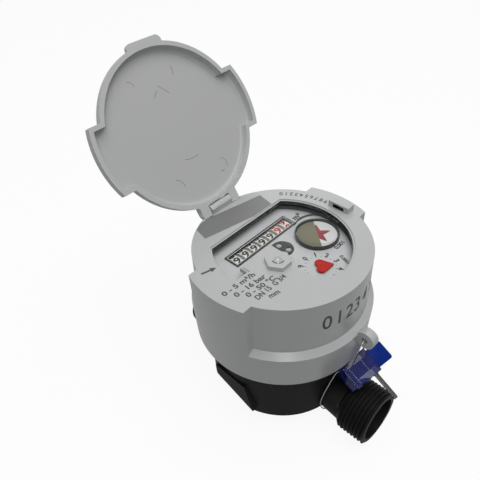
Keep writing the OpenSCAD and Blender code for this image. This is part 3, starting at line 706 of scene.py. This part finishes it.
def twisted_wire():
    seal, eye = Vector(SEAL_AT), Vector(EYE_AT)

    def near(x, y, z):
        return Vector((POT_R + x, y, z))

    stops = [seal + Vector((-4.5, -5.6, 2)), near(1.8, -4, 33.3), near(0.7, -6.8, 27.5),
             near(-0.2, -9.8, 20.5), near(-0.7, -10.9, 14.5), near(-0.3, -9.2, 8.6), near(0.4, -5, 4.6),
             near(0.8, 0.8, 3.5), near(0.7, 6.2, 5.4), near(0.4, 9.8, 9.9), near(0.3, 10.9, 15),
             near(1.1, 10.6, 22), near(3.1, 9.5, 32), near(6.1, 8, 42), eye + Vector((-1, 4.4, -6.6)),
             eye + Vector((0, 2.8, -1.2)), eye, eye + Vector((-0.2, -3.2, -1)),
             eye + Vector((-1, -4.4, -6.6)), near(6.6, -1.6, 44), near(4.7, -0.4, 39),
             seal + Vector((-3.8, -2.6, 2.4))]
    route = smooth_route(stops, 20)
    strands = []
    for half in (0, 1):
        side, run, turned = Vector((1, 0, 0)), 0.0, []
        for i, p in enumerate(route):
            way = (route[min(i + 1, len(route) - 1)] - route[max(i - 1, 0)]).normalized()
            side = (side - way * side.dot(way)).normalized()
            run += (p - route[i - 1]).length if i else 0
            angle = math.tau * run / TWIST + half * math.pi
            turned.append(p + STRAND_R * (side * math.cos(angle) + way.cross(side) * math.sin(angle)))
        curve = bpy.data.curves.new("strand", "CURVE")
        curve.dimensions = "3D"
        curve.bevel_depth, curve.bevel_resolution, curve.use_fill_caps = STRAND_R * MM, 1, True
        spline = curve.splines.new("POLY")
        spline.points.add(len(turned) - 1)
        for point, p in zip(spline.points, turned):
            point.co = (*(p * MM), 1)
        strand = bpy.data.objects.new("strand", curve)
        bpy.context.scene.collection.objects.link(strand)
        only(strand)
        bpy.ops.object.convert(target="MESH")
        strands.append(bpy.context.object)
    wire = join(strands, "twisted_wire")
    soften(wire, 60)
    dress(wire, "meter", "wire_steel", "seal_wire")


# Seal: eased clear housing with a lid frame and two wire eyelets, and a flag with round corners

def seal_frame(*at):
    """The seal's own axes, at a place given in them."""
    turned = Matrix.Rotation(SEAL_TURN, 4, "Z") @ Matrix.Rotation(SEAL_LEAN, 4, "Y")
    seal = Matrix.Translation(Vector(SEAL_AT) * MM) @ turned
    return seal @ Matrix.Translation(Vector(at) * MM) if at else seal


def seal_housing():
    eased_copy("seal_body", "meter", "seal_clear", 0.45)
    pieces = []
    for along in (-4.4, 1.6):
        eyelet = new_mesh(bpy.ops.mesh.primitive_cylinder_add, vertices=32, radius=1.5 * MM, depth=0.5 * MM)
        edit_faces(eyelet, lambda f: f.normal.z > 0.9)
        bpy.ops.mesh.inset(thickness=0.55 * MM)
        lift(-0.4)
        leave()
        modify(eyelet, "BEVEL", width=0.1 * MM, segments=2, limit_method="ANGLE")
        facing = Matrix.Rotation(math.pi / 2, 4, "Y")
        eyelet.matrix_world = seal_frame(SEAL_SIZE[0] / 2, along, -0.6) @ facing
        settle(eyelet)
        pieces.append(eyelet)
    wide, deep = (10.4, 0.5, 0.5), (0.5, 8.0, 0.5)
    for across, along, size in ((0, -5.2, wide), (0, 2.4, wide), (-3.4, -1.4, deep), (3.4, -1.4, deep)):
        rib = new_mesh(bpy.ops.mesh.primitive_cube_add, size=1)
        rib.scale = [s * MM for s in size]
        settle(rib)
        edit(rib, "EDGE")
        bpy.ops.mesh.bevel(offset=0.12 * MM, segments=2)
        leave()
        rib.matrix_world = seal_frame(across, along, SEAL_SIZE[2] / 2)
        settle(rib)
        pieces.append(rib)
    ribs = join(pieces, "seal_ribs")
    soften(ribs)
    # The ribs take the paler finish of a painted highlight.
    dress(ribs, "meter", "rib_highlight")


def seal_flag():
    obj = solid_copy("seal_rotor")
    tilt = seal_frame().inverted()
    half_wide, near_edge = 4.75, SEAL_SIZE[1] / 2 + 0.9

    def corner(a, b):
        a, b = tilt @ a / MM, tilt @ b / MM
        upright = abs(a.z - b.z) > 1.5 and abs(a.x - b.x) < 0.1
        return upright and abs(abs(a.x) - half_wide) < 0.1 and a.y > near_edge

    edit_edges(obj, corner)
    bpy.ops.mesh.bevel(offset=1.1 * MM, segments=5)
    leave()
    modify(obj, "BEVEL", width=0.2 * MM, segments=2, limit_method="ANGLE", angle_limit=math.radians(40))
    soften(obj, 34)
    dress(obj, "meter", "seal_blue", "seal_rotor")


# Thin arcs: the marks that the mould left inside the lid, and the painted shade of the groove in the boss

def arc_line(x, y, z, radius, start, sweep, width):
    """A thin raised line bent round (x, y), drawn out from its cross-section."""
    arc = new_mesh(bpy.ops.mesh.primitive_plane_add, size=1)
    for v in arc.data.vertices:
        v.co = (radius * MM + v.co.x * width * MM, 0, v.co.y * 0.05 * MM)
    edit(arc)
    bpy.ops.mesh.spin(steps=18, angle=-math.radians(sweep), center=(0, 0, 0), axis=(0, 0, 1))
    turn_outward()
    return put(arc, (x, y, z), start)


def lid_marks():
    """Arcs set out on the closed lid's inside, and then opened with the lid."""
    hinge = Matrix.Translation(Vector(HINGE) * MM)
    width = 0.16
    arcs = [arc_line(x, y, LID_INSIDE, *bend, width) for x, y, *bend in LID_ARCS]
    marks = join(arcs, "lid_marks")
    marks.matrix_world = hinge @ Matrix.Rotation(-LID_OPEN, 4, "Y") @ hinge.inverted()
    settle(marks)
    dress(marks, "lid", "print_grey")


def boss_groove():
    # Painted shade: two dark arcs stand for the shade on the lower side of the round groove in the boss.
    halves = [arc_line(*BOSS, BOSS_TOP, 2.4, start, 62, 0.5) for start in (-118, -40)]
    dress(join(halves, "boss_groove"), "meter", "print_black")


# Studio: floor, light and camera

def lay_floor():
    """A floor that is white to the eye, takes shadows and isn't seen from below."""
    floor = new_mesh(bpy.ops.mesh.primitive_plane_add, size=6, location=(0, 0, -0.05 * MM))
    floor.name = "floor"
    material = bpy.data.materials.new("studio_floor")
    material.use_nodes = True
    tree = material.node_tree
    tree.nodes.clear()
    start = Sock(tree)
    seen = seen_rays(start, 0.3)
    mottle = start.make("ShaderNodeTexNoise", None, {
        "Vector": start.make("ShaderNodeTexCoord", out="Object"), "Scale": 3.0})
    grey, pale = (mottle.tint([v] * 3, [v + 0.02] * 3) for v in (0.31, 0.94))
    paper = seen.tint(grey, pale)
    paper = start.make("ShaderNodeBsdfDiffuse", None, {"Color": paper})
    white = start.make("ShaderNodeEmission", None, {"Strength": 1.0})
    mixed = start.make("ShaderNodeMixShader", None, {0: seen * 0.92, 1: paper, 2: white})
    under = start.make("ShaderNodeNewGeometry", out="Backfacing")
    nothing = start.make("ShaderNodeBsdfTransparent")
    mixed = start.make("ShaderNodeMixShader", None, {0: under, 1: mixed, 2: nothing})
    output = tree.nodes.new("ShaderNodeOutputMaterial")
    tree.links.new(mixed.socket, output.inputs["Surface"])
    floor.data.materials.append(material)


def set_light():
    """A white surround that lights little, and four lamps."""
    scene = bpy.context.scene
    scene.view_settings.view_transform = "Standard"
    world = bpy.data.worlds.new("studio_world")
    world.use_nodes = True
    scene.world = world
    start = Sock(world.node_tree)
    background = world.node_tree.nodes["Background"]
    background.inputs["Color"].default_value = (1, 1, 1, 1)
    level = 0.2 + 0.8 * seen_rays(start, 1.0)
    world.node_tree.links.new(level.socket, background.inputs["Strength"])

    middle = Vector((0, 0, 0.07))
    for name, place, size, watts in LAMPS:
        light = bpy.data.lights.new(name, "AREA")
        light.energy, light.shape, light.size = watts, "DISK", size
        lamp = bpy.data.objects.new(name, light)
        scene.collection.objects.link(lamp)
        lamp.location = place
        lamp.rotation_euler = (middle - Vector(place)).to_track_quat("-Z", "Y").to_euler()


def set_camera():
    """The camera that was fitted to the photograph."""
    scene = bpy.context.scene
    turn, rise, roll = (math.radians(a) for a in CAMERA_TURN)
    back = Vector((math.sin(turn) * math.cos(rise), -math.cos(turn) * math.cos(rise), math.sin(rise)))
    flat = Vector((math.cos(turn), math.sin(turn), 0))
    over = back.cross(flat)
    right = flat * math.cos(roll) + over * math.sin(roll)
    up = over * math.cos(roll) - flat * math.sin(roll)
    lens = bpy.data.cameras.new("photo_camera")
    lens.lens, lens.sensor_width, lens.clip_start = CAMERA_LENS, 36.0, 0.01
    camera = bpy.data.objects.new("photo_camera", lens)
    scene.collection.objects.link(camera)
    stand = Matrix((right, up, back)).transposed().to_4x4()
    stand.translation = Vector(CAMERA_AT) * MM
    camera.matrix_world = stand
    scene.camera = camera


def seen_rays(start, gloss):
    """1 for rays that show the background to the eye or through clear parts, gloss for reflections."""
    path = start.make("ShaderNodeLightPath").socket.node
    ray = {output.name: Sock(start.tree, output) for output in path.outputs}
    shown = ray["Is Camera Ray"] + ray["Is Glossy Ray"] * gloss + ray["Is Transmission Ray"]
    return shown.math("MINIMUM", shown, 1.0)


moulded_finishes()
plain_finishes()
register_finishes()
clear_finishes()
lay_floor()
set_light()
set_camera()
for part in frame["record"]["subparts"]:
    node = nodes[part["node"]]
    node.data.materials.clear()
    node.data.materials.append(FINISH[part["material_slot"]])
threaded_body()
eased_copy("shroud", "meter", "shroud_grey", 0.3)
eased_copy("lid", "lid", "lid_grey", 0.3)
eased_copy("heart_pointer", "heart_pointer", "pointer_red", 0.15)
eased_copy("target_bezel", "meter", "bezel_black", 0.15)
dial_print()
ring_print()
side_print()
drum_numbers()
counter_line()
star_petals()
seal_housing()
seal_flag()
twisted_wire()
lid_marks()
boss_groove()
